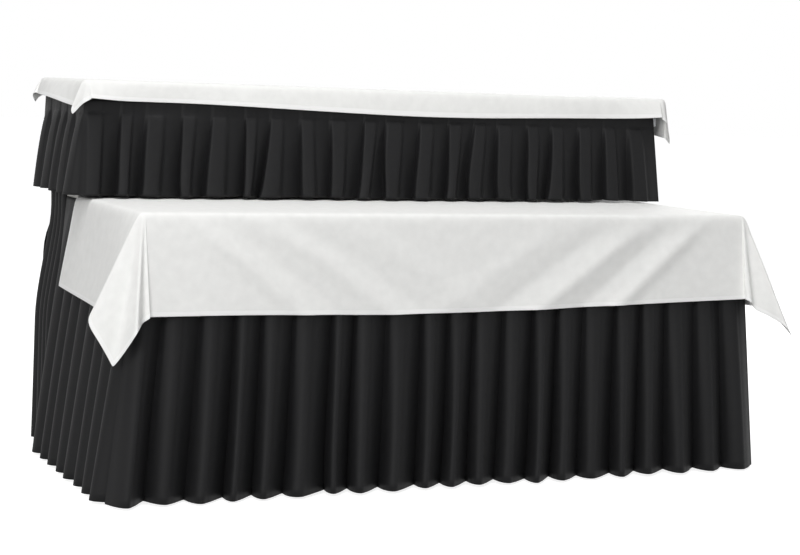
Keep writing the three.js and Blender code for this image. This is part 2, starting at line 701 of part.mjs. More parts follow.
// Cloths on the table and the shelf
const clothStandoff = clippedStandoff + HEADER_PLEAT + FABRIC + CLOTH;
piece(
  "table_cloth",
  drapedCloth({
    low: [-tableEnd, 0],
    high: [tableEnd, TABLE_DEPTH - TABLE_CLOTH_SHORT],
    z: TABLE_HEIGHT + CLOTH_LIFT,
    drops: { left: TABLE_CLOTH_DROP, right: TABLE_CLOTH_DROP, front: TABLE_CLOTH_DROP, back: 0 },
    standoff: clothStandoff,
    tip: TABLE_CLOTH_TIP,
  }),
  whiteLinen,
);
piece(
  "shelf_cloth",
  drapedCloth({
    low: [-shelfEnd, shelfFront],
    high: [shelfEnd, shelfRear],
    z: SHELF_HEIGHT + CLOTH_LIFT,
    drops: {
      left: SHELF_CLOTH_DROP,
      right: SHELF_CLOTH_DROP,
      front: SHELF_CLOTH_DROP,
      back: SHELF_CLOTH_DROP,
    },
    standoff: clothStandoff,
    tip: SHELF_CLOTH_TIP,
  }),
  whiteLinen,
);

export default bar;
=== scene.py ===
"""Dresses the folding portable bar: pleated skirting, table linen, the finishes of its frames, and a studio stage."""

import json
import math

import bpy
import numpy as np
from mathutils import Matrix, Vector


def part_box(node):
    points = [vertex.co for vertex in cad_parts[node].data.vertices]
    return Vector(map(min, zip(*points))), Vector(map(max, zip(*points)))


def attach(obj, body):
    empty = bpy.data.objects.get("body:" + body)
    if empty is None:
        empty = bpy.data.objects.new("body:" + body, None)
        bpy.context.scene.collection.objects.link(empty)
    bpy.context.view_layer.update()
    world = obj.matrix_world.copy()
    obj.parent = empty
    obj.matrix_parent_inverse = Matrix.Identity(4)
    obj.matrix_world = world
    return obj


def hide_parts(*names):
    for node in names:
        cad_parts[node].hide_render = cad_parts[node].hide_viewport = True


bl_info = {
    "name": "Folding portable bar",
    "version": (1, 0, 0),
    "blender": (4, 5, 0),
    "location": "View3D > Sidebar > Bar",
    "description": "Skirting, table linen, finishes and stage of a folding portable bar",
    "category": "Object",
}

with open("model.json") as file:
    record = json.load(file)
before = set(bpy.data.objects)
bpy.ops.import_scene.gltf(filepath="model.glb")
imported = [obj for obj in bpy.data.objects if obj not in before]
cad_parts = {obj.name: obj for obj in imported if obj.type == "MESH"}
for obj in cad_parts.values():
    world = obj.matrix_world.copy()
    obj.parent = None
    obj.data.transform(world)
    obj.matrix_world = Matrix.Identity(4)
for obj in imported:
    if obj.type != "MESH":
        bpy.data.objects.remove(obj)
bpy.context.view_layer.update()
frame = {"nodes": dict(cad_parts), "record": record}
TABLE_LOW, TABLE_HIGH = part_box("table_panel")
SHELF_LOW, SHELF_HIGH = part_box("shelf_panel")
MM = 0.001

SKIRTING_MATERIAL = "black_polyester_pleated"
SKIRTING_THICK = 0.9 * MM
SKIRTING_ROWS = 36  # rows of points below a skirting's header
HEADER_ROWS = 5  # rows of points in the header
PLEAT_COLUMNS = 26  # columns of faces across one pleat
PLEAT_VARIES = 0.13  # share of a pleat's width by which the line between two pleats is off
SHALLOWEST = 0.75  # the shallowest pleat at a hem, as a share of the deepest
KICK = 0.1  # how far a hem kicks aside, in pleats
HEM_WAVE = 2.5 * MM  # how far a hem waves up and down
WIDEN_REACH = 0.25  # metres from a corner over which a skirting's hem spreads
TIP = 0.4  # how far a pleat of the front leans to the left, for each metre that it stands out
FRONT_PITCH = 0.915  # width of a pleat at the table's front, as a share of the pitch
END_DEPTH = 0.75  # depth of the pleats at the ends and the rear, as a share of the front's
HEADER_OUT = 3.6 * MM  # a front header stands off the panel, clear of the end's header
HEADER_IN = 0.8 * MM  # an end's header lies against the panel
PAST_CORNER = 8 * MM  # how far a front header runs past the corner of the panel
CORNER_GAP = 0.3 * MM  # how far behind the front edge an end's header starts
END_HEADER_DOWN = 9 * MM  # how far below the panel's face the table's end headers start
VALANCE_LOWER = 8 * MM  # how far the valance hangs below its solid, to the table's cloth
TIED_AT, TIED_REACH = 0.71, 0.075  # height at which the rear skirting is tied, and how far that shows
LET_GO_AT, LET_GO_REACH = 0.7, 0.33  # height below which a return spreads, and over what height

LINEN_THICK = 1.0 * MM
LINEN_LIFT = 1.2 * MM  # middle of the cloth above the panel
BIAS_STRETCH = 0.033  # share by which a cloth's hanging corner grows longer
ROUND_EDGE = 9 * MM  # how far down a cloth takes to stand off below an edge
STILL = 0.12  # metres of drop over which creases and ripples grow to their full height
RIPPLES, RIPPLE = 6, 0.5 * MM  # faint waves over the drops, and the height of each

FLOOR_SIZE = 40.0  # from its middle to its edge
FLOOR_LIFT = 0.45  # light added to the floor where it shows, so that a floor in full light is white
FAR_FLOOR_LIFT = 0.4  # more of it straight to the camera, so that the dim far floor is white too
LAMP_TARGET = (0.0, 0.0, 0.6)
IMAGE_WIDTH = 800
CAMERA_FOCAL = 1876.8  # in pixels of the image
CAMERA_PLACE = (-2.3312, -4.6201, 1.1059)  # metres from the middle of the table's front edge, on the floor
CAMERA_TURN = (24.897, -5.824, 2.117)  # yaw, pitch and roll in degrees


# Sizes and colours that a user would change


class SkirtingSettings(bpy.types.PropertyGroup):
    pitch: bpy.props.FloatProperty(
        name="Pleat pitch", description="Width of one box pleat along the header", default=0.095, unit="LENGTH"
    )
    header: bpy.props.FloatProperty(
        name="Header", description="Height of the flat stitched header", default=0.04, unit="LENGTH"
    )
    header_depth: bpy.props.FloatProperty(
        name="Header depth",
        description="How far the pressed pleats stand out at the header",
        default=0.003,
        unit="LENGTH",
    )
    hem_depth: bpy.props.FloatProperty(
        name="Hem depth", description="How far a full-length pleat stands out at its hem", default=0.068, unit="LENGTH"
    )
    valance_depth: bpy.props.FloatProperty(
        name="Valance depth", description="How far a valance pleat stands out at its hem", default=0.04, unit="LENGTH"
    )
    colour: bpy.props.StringProperty(
        name="Colour", description="Colour of the skirting as sRGB hex", default="1a1a1b"
    )


class LinenSettings(bpy.types.PropertyGroup):
    table_drop: bpy.props.FloatProperty(
        name="Table drop", description="How far the table's cloth hangs over its edges", default=0.262, unit="LENGTH"
    )
    table_depth: bpy.props.FloatProperty(
        name="Table depth",
        description="Flat part of the table's cloth, from the front edge",
        default=0.62,
        unit="LENGTH",
    )
    shelf_drop: bpy.props.FloatProperty(
        name="Shelf drop", description="How far the shelf's cloth hangs over its edges", default=0.062, unit="LENGTH"
    )
    mesh: bpy.props.FloatProperty(
        name="Mesh", description="Spacing of the cloth's points", default=0.011, unit="LENGTH"
    )
    hem: bpy.props.FloatProperty(name="Hem", description="Width of the turned hem", default=0.014, unit="LENGTH")
    colour: bpy.props.StringProperty(name="Colour", description="Colour of the linen as sRGB hex", default="f1f1ef")


class StageSettings(bpy.types.PropertyGroup):
    floor: bpy.props.StringProperty(name="Floor", description="Colour of the floor as sRGB hex", default="cbcbcb")
    sky: bpy.props.FloatProperty(name="Sky", description="Strength of the light from all around", default=0.27)
    key: bpy.props.FloatProperty(
        name="Key light", description="Power of the large lamp overhead", default=184, unit="POWER"
    )
    side: bpy.props.FloatProperty(
        name="Side light", description="Power of the lamp at the front left", default=232, unit="POWER"
    )
    back: bpy.props.FloatProperty(
        name="Back light", description="Power of the lamp behind", default=110, unit="POWER"
    )


def settings():
    """The values of the skirting, the linen and the stage."""
    scene = bpy.context.scene
    return scene.bar_skirting, scene.bar_linen, scene.bar_stage


# Colours and material nodes


def colour(hex_code):
    """An sRGB hex value as linear red, green, blue and alpha."""
    parts = [int(hex_code[i : i + 2], 16) / 255 for i in (0, 2, 4)]
    linear = [c / 12.92 if c <= 0.04045 else ((c + 0.055) / 1.055) ** 2.4 for c in parts]
    return (*linear, 1.0)


def tint(hex_code, factor):
    """The same colour, lighter or darker."""
    red, green, blue, alpha = colour(hex_code)
    return (red * factor, green * factor, blue * factor, alpha)


def node(tree, kind, inputs=None, **attributes):
    """Adds one node. Inputs are sockets to link from, or plain values."""
    made = tree.nodes.new(kind)
    for key, value in attributes.items():
        setattr(made, key, value)
    for key, value in (inputs or {}).items():
        if isinstance(value, bpy.types.NodeSocket):
            tree.links.new(value, made.inputs[key])
        else:
            made.inputs[key].default_value = value
    return made


def surface(name, hex_code, roughness, metallic=0.0, ior=1.5, **sockets):
    """A named Principled material and the parts of its tree."""
    material = bpy.data.materials.new(name)
    material.use_nodes = True
    tree = material.node_tree
    shader = next(n for n in tree.nodes if n.type == "BSDF_PRINCIPLED")
    shader.inputs["Base Color"].default_value = colour(hex_code)
    shader.inputs["Roughness"].default_value = roughness
    shader.inputs["Metallic"].default_value = metallic
    if not metallic:
        shader.inputs["IOR"].default_value = ior
    for key, value in sockets.items():
        shader.inputs[key.replace("_", " ")].default_value = value
    return material, tree, shader


def ramp(tree, factor, hex_code, spread, start=0.3, end=0.7):
    """A colour that a pattern makes a little darker and lighter."""
    made = node(tree, "ShaderNodeValToRGB", {"Fac": factor})
    made.color_ramp.elements[0].position = start
    made.color_ramp.elements[1].position = end
    made.color_ramp.elements[0].color = tint(hex_code, 1 - spread)
    made.color_ramp.elements[1].color = tint(hex_code, 1 + spread)
    return made.outputs["Color"]


def bump(tree, height, distance, strength=1.0, normal=None):
    """A relief of distance metres, on top of another where normal is given."""
    inputs = {"Height": height, "Distance": distance, "Strength": strength}
    if normal is not None:
        inputs["Normal"] = normal
    return node(tree, "ShaderNodeBump", inputs).outputs["Normal"]


def noise(tree, vector, size, detail=3.0, distortion=0.0):
    """Noise whose patches are about size metres across."""
    inputs = {"Vector": vector, "Scale": 1 / size, "Detail": detail, "Distortion": distortion}
    return node(tree, "ShaderNodeTexNoise", inputs).outputs["Fac"]


def math_node(tree, operation, a, b=0.0):
    """One sum with sockets or plain values."""
    return node(tree, "ShaderNodeMath", {0: a, 1: b}, operation=operation).outputs[0]


def stitches(tree, along, across, at, width, stitch):
    """A line of stitches: 1 on a thread, 0 off it. along and across are in metres over the flat cloth."""
    off = math_node(tree, "ABSOLUTE", math_node(tree, "SUBTRACT", across, at))
    line = math_node(tree, "LESS_THAN", off, width)
    dash = math_node(tree, "LESS_THAN", math_node(tree, "PINGPONG", along, stitch), 0.7 * stitch)
    return math_node(tree, "MULTIPLY", line, dash)


def weave(tree, flat, thread):
    """Plain weave: two crossed waves, one thread wide each."""
    crossed = []
    for direction in ("X", "Y"):
        # A wave's period is 2 pi / (20 * scale) with this node, so this gives one wave for two threads.
        wave = node(
            tree,
            "ShaderNodeTexWave",
            {"Vector": flat, "Scale": math.pi / 20 / thread},
            wave_type="BANDS",
            bands_direction=direction,
        )
        crossed.append(wave.outputs["Fac"])
    return math_node(tree, "MULTIPLY", *crossed)


def varied_roughness(tree, shader, pattern, low, high):
    """Lets a pattern move the roughness between two values."""
    rough = node(tree, "ShaderNodeMapRange", {"Value": pattern, "To Min": low, "To Max": high})
    tree.links.new(rough.outputs["Result"], shader.inputs["Roughness"])


def polyester_skirting():
    """Black spun polyester, box pleated and pressed: a dull weave with a faint satin light on the folds."""
    skirting, _, _ = settings()
    material, tree, shader = surface(SKIRTING_MATERIAL, skirting.colour, 0.55, ior=1.46, Specular_IOR_Level=0.2)
    flat = node(tree, "ShaderNodeUVMap", uv_map="flat").outputs["UV"]
    split = node(tree, "ShaderNodeSeparateXYZ", {"Vector": flat})
    along, down = split.outputs["X"], split.outputs["Y"]
    slub = noise(tree, flat, 24 * MM, 5)
    tree.links.new(ramp(tree, slub, skirting.colour, 0.08), shader.inputs["Base Color"])
    varied_roughness(tree, shader, slub, 0.5, 0.6)
    hung = node(tree, "ShaderNodeMapping", {"Vector": flat, "Scale": (1.0, 0.1, 1.0)}).outputs["Vector"]
    creases = noise(tree, hung, 35 * MM, 3, 0.6)
    soft = bump(tree, creases, 2 * MM, 0.3)
    seam = stitches(tree, along, down, skirting.header, 0.5 * MM, 3 * MM)
    sewn = bump(tree, seam, 0.6 * MM, 0.6, soft)
    threads = bump(tree, weave(tree, flat, 0.45 * MM), 0.12 * MM, 0.6, sewn)
    tree.links.new(threads, shader.inputs["Normal"])
    return material


def table_linen(name, width, length):
    """White table linen, plain woven and pressed: matt, with a brighter hem and soft creases."""
    _, linen, _ = settings()
    material, tree, shader = surface(
        name,
        linen.colour,
        0.82,
        ior=1.5,
        Sheen_Weight=0.08,
        Sheen_Roughness=0.5,
        Specular_IOR_Level=0.3,
    )
    flat = node(tree, "ShaderNodeUVMap", uv_map="flat").outputs["UV"]
    split = node(tree, "ShaderNodeSeparateXYZ", {"Vector": flat})
    slub = noise(tree, flat, 30 * MM, 5)
    tone = ramp(tree, slub, linen.colour, 0.03)
    # The hem is two layers of cloth, so it lets less light through and reads brighter.
    from_side = math_node(tree, "SUBTRACT", width / 2, math_node(tree, "ABSOLUTE", split.outputs["X"]))
    from_end = math_node(tree, "SUBTRACT", length / 2, math_node(tree, "ABSOLUTE", split.outputs["Y"]))
    inward = math_node(tree, "MINIMUM", from_side, from_end)
    hem = math_node(tree, "LESS_THAN", inward, linen.hem)
    mixed = node(tree, "ShaderNodeMix", {"Factor": hem, 6: tone, 7: colour("f9f9f8")}, data_type="RGBA")
    tree.links.new(mixed.outputs[2], shader.inputs["Base Color"])
    creases = noise(tree, flat, 170 * MM, 2, 0.8)
    soft = bump(tree, creases, 4 * MM, 0.15)
    fold = bump(tree, hem, 0.8 * MM, 0.8, soft)
    along = math_node(tree, "ADD", split.outputs["X"], split.outputs["Y"])
    seam = stitches(tree, along, inward, linen.hem - 2 * MM, 0.4 * MM, 2.5 * MM)
    sewn = bump(tree, seam, 0.4 * MM, 0.5, fold)
    threads = bump(tree, weave(tree, flat, 0.5 * MM), 0.12 * MM, 0.5, sewn)
    tree.links.new(threads, shader.inputs["Normal"])
    return material


def anodised_aluminium():
    """Extruded aluminium, satin anodised: fine die lines along the length, a soft metallic grey."""
    material, tree, shader = surface("satin_anodised_aluminium", "b9bcc0", 0.4, 0.9)
    place = node(tree, "ShaderNodeTexCoord").outputs["Object"]
    stretched = node(tree, "ShaderNodeMapping", {"Vector": place, "Scale": (1, 1, 400)}).outputs["Vector"]
    lines = noise(tree, stretched, 0.5, 2)
    varied_roughness(tree, shader, lines, 0.32, 0.48)
    tree.links.new(bump(tree, lines, 0.05 * MM, 0.5), shader.inputs["Normal"])
    return material


def powder_coat():
    """Steel tube with a grey powder coat: a fine orange-peel grain and a low, even gloss."""
    grey = "6d7074"
    material, tree, shader = surface("grey_powder_coat", grey, 0.5, 0.0, 1.5, Specular_IOR_Level=0.5)
    place = node(tree, "ShaderNodeTexCoord").outputs["Object"]
    peel = noise(tree, place, 1.2 * MM, 2)
    scuffs = noise(tree, place, 60 * MM, 6, 0.4)
    tree.links.new(ramp(tree, scuffs, grey, 0.09), shader.inputs["Base Color"])
    varied_roughness(tree, shader, scuffs, 0.42, 0.6)
    tree.links.new(bump(tree, peel, 0.12 * MM, 0.5), shader.inputs["Normal"])
    return material


def zinc_plate():
    """Zinc-plated steel: a cool, slightly spangled metal with patches of different gloss."""
    zinc = "9fa2a2"
    material, tree, shader = surface("zinc_plated_steel", zinc, 0.36, 1.0)
    place = node(tree, "ShaderNodeTexCoord").outputs["Object"]
    spangle = node(tree, "ShaderNodeTexVoronoi", {"Vector": place, "Scale": 1 / (3 * MM)}).outputs["Distance"]
    tree.links.new(ramp(tree, spangle, zinc, 0.1, 0.2, 0.8), shader.inputs["Base Color"])
    varied_roughness(tree, shader, spangle, 0.28, 0.46)
    return material


def laminate():
    """Plywood board with a pale high-pressure laminate: a fine pebble texture under a low sheen."""
    pale = "d8d6d0"
    material, tree, shader = surface("pale_laminate_board", pale, 0.45, 0.0, 1.5)
    place = node(tree, "ShaderNodeTexCoord").outputs["Object"]
    pebble = noise(tree, place, 1.5 * MM, 2)
    stains = noise(tree, place, 220 * MM, 5, 0.3)
    tree.links.new(ramp(tree, stains, pale, 0.05), shader.inputs["Base Color"])
    tree.links.new(bump(tree, pebble, 0.1 * MM, 0.5), shader.inputs["Normal"])
    return material


def moulded_plastic():
    """Injection-moulded grey plastic: a fine spark-eroded texture and a broad highlight."""
    grey = "b4b7b9"
    material, tree, shader = surface("grey_moulded_plastic", grey, 0.5, 0.0, 1.49)
    place = node(tree, "ShaderNodeTexCoord").outputs["Object"]
    grain = noise(tree, place, 0.6 * MM, 2)
    tree.links.new(ramp(tree, grain, grey, 0.04), shader.inputs["Base Color"])
    tree.links.new(bump(tree, grain, 0.08 * MM, 0.5), shader.inputs["Normal"])
    return material


def rubber():
    """Moulded black rubber: matt, with dust in its grain."""
    material, tree, shader = surface("black_rubber_moulded", "1d1d1e", 0.85, 0.0, 1.52, Specular_IOR_Level=0.3)
    place = node(tree, "ShaderNodeTexCoord").outputs["Object"]
    dust = noise(tree, place, 9 * MM, 6)
    tree.links.new(ramp(tree, dust, "201f1f", 0.4, 0.45, 0.8), shader.inputs["Base Color"])
    tree.links.new(bump(tree, dust, 0.2 * MM, 0.4), shader.inputs["Normal"])
    return material


# Cloth meshes


def sheet_object(name, points, flat, material):
    """A grid of points as a smooth sheet, with its flat cut in metres as the UV map flat."""
    rows, columns = points.shape[:2]
    corner = np.arange(rows * columns).reshape(rows, columns)
    faces = np.stack([corner[:-1, :-1], corner[:-1, 1:], corner[1:, 1:], corner[1:, :-1]], -1).reshape(-1, 4)
    mesh = bpy.data.meshes.new(name)
    mesh.from_pydata(points.reshape(-1, 3).tolist(), [], faces.tolist())
    layer = mesh.uv_layers.new(name="flat")
    layer.data.foreach_set("uv", flat.reshape(-1, 2)[faces.ravel()].ravel().astype(np.float32))
    mesh.polygons.foreach_set("use_smooth", np.ones(len(faces), bool))
    mesh.materials.append(material)
    made = bpy.data.objects.new(name, mesh)
    bpy.context.scene.collection.objects.link(made)
    return made


def thicken(piece, thickness):
    """Gives a sheet its thickness, half to each face."""
    solidify = piece.modifiers.new("thickness", "SOLIDIFY")
    solidify.thickness = thickness
    solidify.offset = 0
    return piece


def smooth_step(x):
    """From 0 to 1 as x goes from 0 to 1, level at both ends."""
    x = np.clip(x, 0, 1)
    return x * x * (3 - 2 * x)


def pleat_profile(phase, soft):
    """How far out a pleat stands over its width: a pressed box where soft is 0, a round fold where it is 1."""
    phase = np.mod(phase, 1)
    # A box rises at once, falls most of the way past its middle and runs out over the rest.
    rise, fall, rest = smooth_step(phase / 0.12), smooth_step((phase - 0.46) / 0.14), smooth_step((phase - 0.6) / 0.4)
    boxed = rise - 0.8 * fall - 0.2 * rest
    # A fold is highest a little before its middle and leaves a narrow valley.
    rounded = np.sin(np.pi * phase**0.85) ** 1.2
    return boxed * (1 - soft) + rounded * soft


def crease_valleys(mesh, columns):
    """Marks the line between two pleats as a sharp crease."""
    ends = np.empty(2 * len(mesh.edges), dtype=np.int32)
    mesh.edges.foreach_get("vertices", ends)
    first, second = (ends.reshape(-1, 2) % columns).T
    mesh.edges.foreach_set("use_edge_sharp", (first == second) & (first % PLEAT_COLUMNS == 0))


def hang_skirting(
    name,
    start,
    end,
    top,
    hem,
    depth,
    flare,
    standoff,
    place,
    seed,
    soft=0.9,
    drift=0.06,
    widen=(0, 0),
    pinch=None,
    pitch=None,
    tip=0,
):
    """A length of pleated skirting that hangs from its header, and its flat size.

    place puts (along, out, up) on the bar. start, end, top and hem are metres on it. depth is how far a pleat stands
    out at the hem, flare how far the hem as a whole does, and standoff how far the header does. soft rounds the
    pleats, drift lets them wander, widen spreads the hem at each end, pinch draws it in and tip leans the pleats.
    """
    skirting, _, _ = settings()
    count = max(1, round((end - start) / (pitch or skirting.pitch)))
    rng = np.random.default_rng(seed)
    knots = np.linspace(0, 1, count + 1)
    header_share = skirting.header / (top - hem)
    hanging = header_share + (1 - header_share) * np.linspace(0, 1, SKIRTING_ROWS) ** 1.15
    fall = np.concatenate([np.linspace(0, header_share, HEADER_ROWS)[:-1], hanging])
    # No two pleats are quite as wide or as deep.
    off = rng.uniform(-PLEAT_VARIES, PLEAT_VARIES, count - 1)
    edges = np.arange(count + 1) + np.concatenate([[0], off, [0]])
    phase = np.linspace(0, count, count * PLEAT_COLUMNS + 1)
    share = np.interp(phase, np.arange(count + 1), edges) / count
    pleat = np.minimum(phase.astype(int), count - 1)
    size = rng.uniform(SHALLOWEST, 1.0, count)[pleat]
    lean, sway, lift, kick = (np.interp(share, knots, rng.uniform(-1, 1, count + 1)) for _ in range(4))
    # Both ends hang straight, so that two skirtings meet at a corner.
    hold = np.minimum(1, 6 * np.minimum(share, 1 - share))
    length = end - start
    near_start = np.exp(-length * share / WIDEN_REACH)
    near_end = np.exp(-length * (1 - share) / WIDEN_REACH)
    points = np.zeros((len(fall), len(share), 3))
    flat = np.zeros((len(fall), len(share), 2))
    for row, t in enumerate(fall):
        below = max(0.0, (t - header_share) / (1 - header_share))
        wander = lean * below + 0.5 * sway * np.sin(3.1 * below + 4 * sway)
        shift = (drift * wander + KICK * kick * below**8) / count
        along = start + length * (share + shift * hold)
        along += t * (widen[1] * near_end - widen[0] * near_start)
        # A soft pleat opens slowly from the header, a pressed one at once.
        deep = skirting.header_depth + (depth - skirting.header_depth) * below ** (0.4 + 0.47 * soft)
        profile = pleat_profile(phase, soft * (0.85 + 0.15 * below))
        out = standoff + flare * t + deep * (1 + (size - 1) * below) * profile
        along -= tip * hold * (out - standoff - flare * t)
        up = top - (top - hem) * t + HEM_WAVE * (1 + lift) * below**6
        if pinch:
            along, out = pinch(along, out, up)
        points[row] = np.stack(place(along, out, up), -1)
        flat[row, 1:, 0] = np.cumsum(np.linalg.norm(np.diff(points[row], axis=0), axis=1))
        flat[row, :, 1] = (top - hem) * t
    cut = (float(np.mean(flat[:, -1, 0])), top - hem)
    material = bpy.data.materials.get(SKIRTING_MATERIAL) or polyester_skirting()
    piece = sheet_object(name, points, flat, material)
    crease_valleys(piece.data, len(share))
    return thicken(piece, SKIRTING_THICK), cut


def dress(piece, body, nodes):
    """Attaches a cloth piece to the body that carries it, and hides the solids that it stands for."""
    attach(piece, body)
    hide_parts(*nodes)


def front_place(edge):
    """Puts a skirting on a front edge."""
    return lambda along, out, up: (along, edge - out, np.broadcast_to(up, along.shape))


def rear_place(edge):
    """Puts a skirting on a rear edge."""
    return lambda along, out, up: (along, edge + out, np.broadcast_to(up, along.shape))


def end_place(sign, edge):
    """Puts a skirting on an end: the left where sign is -1, the right where it is 1."""
    return lambda along, out, up: (sign * (edge + out), along, np.broadcast_to(up, along.shape))


def tied(up):
    """How far the rear skirting is drawn in, from 0 to 1: most where it is tied to the frame."""
    return np.exp(-(((up - TIED_AT) / TIED_REACH) ** 2))


def let_go(up):
    """How far a return has spread out, from 0 at the height where it is tied to 1 at the floor."""
    return smooth_step((LET_GO_AT - up) / LET_GO_REACH)


def draw_in_rear(along, out, up):
    """The rear skirting where it is tied: a little narrower."""
    return along * (1 - 0.035 * tied(up)), out


def draw_in_return(front):
    """A return where it is tied, and spread below that. front is its front edge."""
    return lambda along, out, up: (front + (along - front) * (1 - 0.13 * tied(up)), out + 34 * MM * let_go(up))


def header_of(name):
    """Top and hem of a skirting's solid."""
    low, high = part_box(name)
    return high.z, low.z


class BAR_OT_table_skirting(bpy.types.Operator):
    """Hangs the black skirting round the front and both ends of the table"""

    bl_idname = "bar.table_skirting"
    bl_label = "Table skirting"

    def execute(self, context):
        skirting, _, _ = settings()
        end, front, rear = TABLE_HIGH.x, TABLE_LOW.y, TABLE_HIGH.y
        top, hem = header_of("front_skirt")
        _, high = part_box("front_skirt")
        reach = end + PAST_CORNER
        spread = high.x - reach
        piece, cut = hang_skirting(
            "front_skirting",
            start=-reach,
            end=reach,
            top=top,
            hem=hem,
            depth=skirting.hem_depth,
            flare=2 * MM,
            standoff=HEADER_OUT,
            place=front_place(front),
            seed=11,
            widen=(spread, spread),
            pitch=FRONT_PITCH * skirting.pitch,
            tip=TIP,
        )
        dress(piece, "table", ["front_skirt"])
        for side, sign in (("left", -1), ("right", 1)):
            piece, cut = hang_skirting(
                f"{side}_skirting",
                start=front + CORNER_GAP,
                end=rear,
                top=TABLE_HIGH.z - END_HEADER_DOWN,
                hem=hem,
                depth=END_DEPTH * skirting.hem_depth,
                flare=66 * MM,
                standoff=HEADER_IN,
                place=end_place(sign, end),
                seed=21 + sign,
            )
            dress(piece, "table", [f"{side}_skirt"])
        return {"FINISHED"}


class BAR_OT_shelf_skirting(bpy.types.Operator):
    """Hangs the valance, the full rear skirting and its two short returns from the shelf"""

    bl_idname = "bar.shelf_skirting"
    bl_label = "Shelf skirting"

    def execute(self, context):
        skirting, _, _ = settings()
        end, front, rear = SHELF_HIGH.x, SHELF_LOW.y, SHELF_HIGH.y
        top, hem = header_of("front_valance")
        hem -= VALANCE_LOWER
        _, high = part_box("front_valance")
        piece, cut = hang_skirting(
            "front_valance_skirting",
            start=-end - PAST_CORNER,
            end=high.x - 6 * MM,
            top=top,
            hem=hem,
            depth=skirting.valance_depth,
            flare=0,
            standoff=HEADER_OUT,
            place=front_place(front),
            seed=31,
            soft=0.35,
            drift=0.2,
            widen=(12 * MM, 38 * MM),
            tip=TIP,
        )
        dress(piece, "shelf", ["front_valance"])
        piece, cut = hang_skirting(
            "left_valance_skirting",
            start=front + CORNER_GAP,
            end=rear,
            top=top,
            hem=hem,
            depth=skirting.valance_depth,
            flare=12 * MM,
            standoff=HEADER_IN,
            place=end_place(-1, end),
            seed=41,
            soft=0.5,
        )
        dress(piece, "shelf", ["left_valance"])
        top, hem = header_of("rear_skirt")
        piece, cut = hang_skirting(
            "rear_skirting",
            start=-end,
            end=end,
            top=top,
            hem=hem,
            depth=END_DEPTH * skirting.hem_depth,
            flare=11 * MM,
            standoff=HEADER_IN,
            place=rear_place(rear),
            seed=51,
            pinch=draw_in_rear,
        )
        dress(piece, "shelf", ["rear_skirt"])
        for side, sign in (("left", -1), ("right", 1)):
            low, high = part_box(f"{side}_return")
            piece, cut = hang_skirting(
                f"{side}_return_skirting",
                start=low.y,
                end=high.y,
                top=high.z,
                hem=low.z,
                depth=18 * MM,
                flare=0,
                standoff=0.6 * MM,
                place=end_place(sign, TABLE_HIGH.x),
                seed=61 + sign,
                pinch=draw_in_return(low.y),
                pitch=0.5 * skirting.pitch,
            )
            dress(piece, "shelf", [f"{side}_return"])
        return {"FINISHED"}


# How a cloth hangs, round its edge. front_drop has rows of a share of the front's length and how much of the drop hangs
# there. A side has rows of metres from its front or left corner, and a corner has rows of degrees from the end towards
# the front or back. Then come the lean along the bar and across it, in degrees from straight down.
TABLE_HANG = {
    "front_drop": [
        (0, 1.06), (0.1, 1.058), (0.22, 1.065), (0.35, 1.08), (0.49, 1.073), (0.62, 1.057), (0.76, 1.027), (1, 0.98),
    ],
    "left": [
        (0, -22, 2), (0.06, -18.5, 1), (0.12, -15, 0), (0.2, -12, 0), (0.3, -9.8, 1), (0.4, -8.6, 3), (0.5, -8, 6),
        (0.62, -7.4, 9),
    ],
    "front_left": [
        (0, -22, 2), (14, -25, 1), (26, -24, -1), (36, -17, -4), (45, -10.5, -5), (53, -8.5, -12), (60, -7, -17),
        (67, -4.5, -14), (73, -2.5, -10), (81, 0.5, -12), (90, 0, -9.5),
    ],
    "front": [
        (0, 0, -9.5), (0.05, 0, -8), (0.14, 0, -7), (0.4, 0, -5.6), (0.9, 0, -5.2), (1.4, 0, -5.6), (1.7, 0, -6.5),
        (1.78, 0, -7), (1.83, 0, -7.5),
    ],
    "front_right": [
        (0, 9, 0), (10, 12, 2), (22, 17, -4), (34, 18, -12), (45, 15.5, -19.5), (57, 10, -14), (66, 4, -10),
        (73, 1, -13.5), (81, -2, -12), (90, 0, -7.5),
    ],
    "right": [
        (0, 9, 0), (0.09, 8.4, 0), (0.2, 10.5, 0), (0.31, 8.6, 0), (0.43, 10.5, 0), (0.56, 8.8, 0), (0.68, 9.4, 0),
    ],
}
SHELF_HANG = {
    "front_drop": [
        (0, 1.04), (0.17, 1.05), (0.3, 1.15), (0.44, 1.27), (0.54, 1.33), (0.65, 1.32), (0.79, 1.22), (0.92, 1.14),
        (1, 1.1),
    ],
    "left": [
        (0, -12, 2), (0.05, -16, 1), (0.12, -24, 0), (0.22, -28, 0), (0.32, -26, 0), (0.4, -20, -2), (0.46, -16, -3),
    ],
    "front_left": [
        (0, -12, 2), (15, -19, 5), (30, -20, 4), (45, -13, 2), (57, -11, -10), (68, -5, -15), (77, 2, -20),
        (90, 3, -26),
    ],
    "front": [
        (0, 3, -26), (0.03, 1, -22), (0.1, 0, -10), (0.5, 0, -6), (1.0, 0, -5), (1.5, 0, -6), (1.72, 0, -9),
        (1.83, 0, -20), (1.86, 0, -24),
    ],
    "front_right": [
        (0, 2, 0), (15, 7, 3), (30, 10, -4), (45, 7, -9), (57, 6, -20), (68, 0, -16), (79, -3, -22), (90, 0, -24),
    ],
    "right": [(0, 2, 0), (0.1, 4, 0), (0.25, 2, 0), (0.36, 4, 0), (0.46, 3, 0)],
    "back_left": [(0, -16, -3), (15, -24, -6), (30, -26, 4), (45, -14, 8), (60, -8, 18), (75, 0, 16), (90, 0, 12)],
    "back": [(0, 0, 12), (0.1, 0, 8), (0.6, 0, 6), (1.3, 0, 7), (1.76, 0, 8), (1.86, 0, 12)],
    "back_right": [(0, 3, 0), (15, 10, -4), (30, 16, 4), (45, 12, 12), (60, 8, 18), (75, 0, 16), (90, 0, 12)],
}
